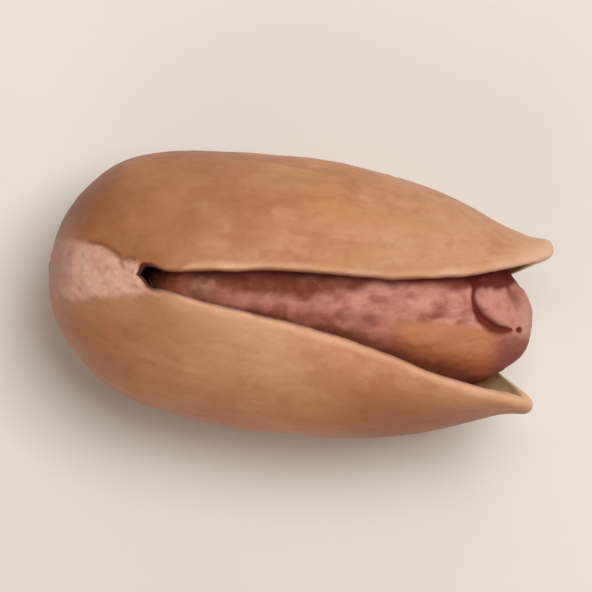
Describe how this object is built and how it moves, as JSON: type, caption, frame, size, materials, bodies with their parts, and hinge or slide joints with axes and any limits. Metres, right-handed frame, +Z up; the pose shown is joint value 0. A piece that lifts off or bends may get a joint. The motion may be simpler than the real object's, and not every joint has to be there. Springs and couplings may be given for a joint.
{
  "type": "pistachio in shell",
  "caption": "Pistachio lying in its split shell: two woody valves joined at the stem end gape towards their beaks, with the loose kernel showing between them.",
  "frame": {"origin": "on the surface the nut lies on, under the centre of its bounding box", "axes": "+X along the nut from the stem scar to the two beaks, +Y across it from one valve to the other, +Z up through the split"},
  "size_m": [0.021, 0.0118, 0.0113],
  "materials": {
    "shell": "satin",
    "kernel_skin": "matte"
  },
  "bodies": {
    "root": {"shell": "shell", "kernel": "kernel_skin"}
  },
  "joints": []
}
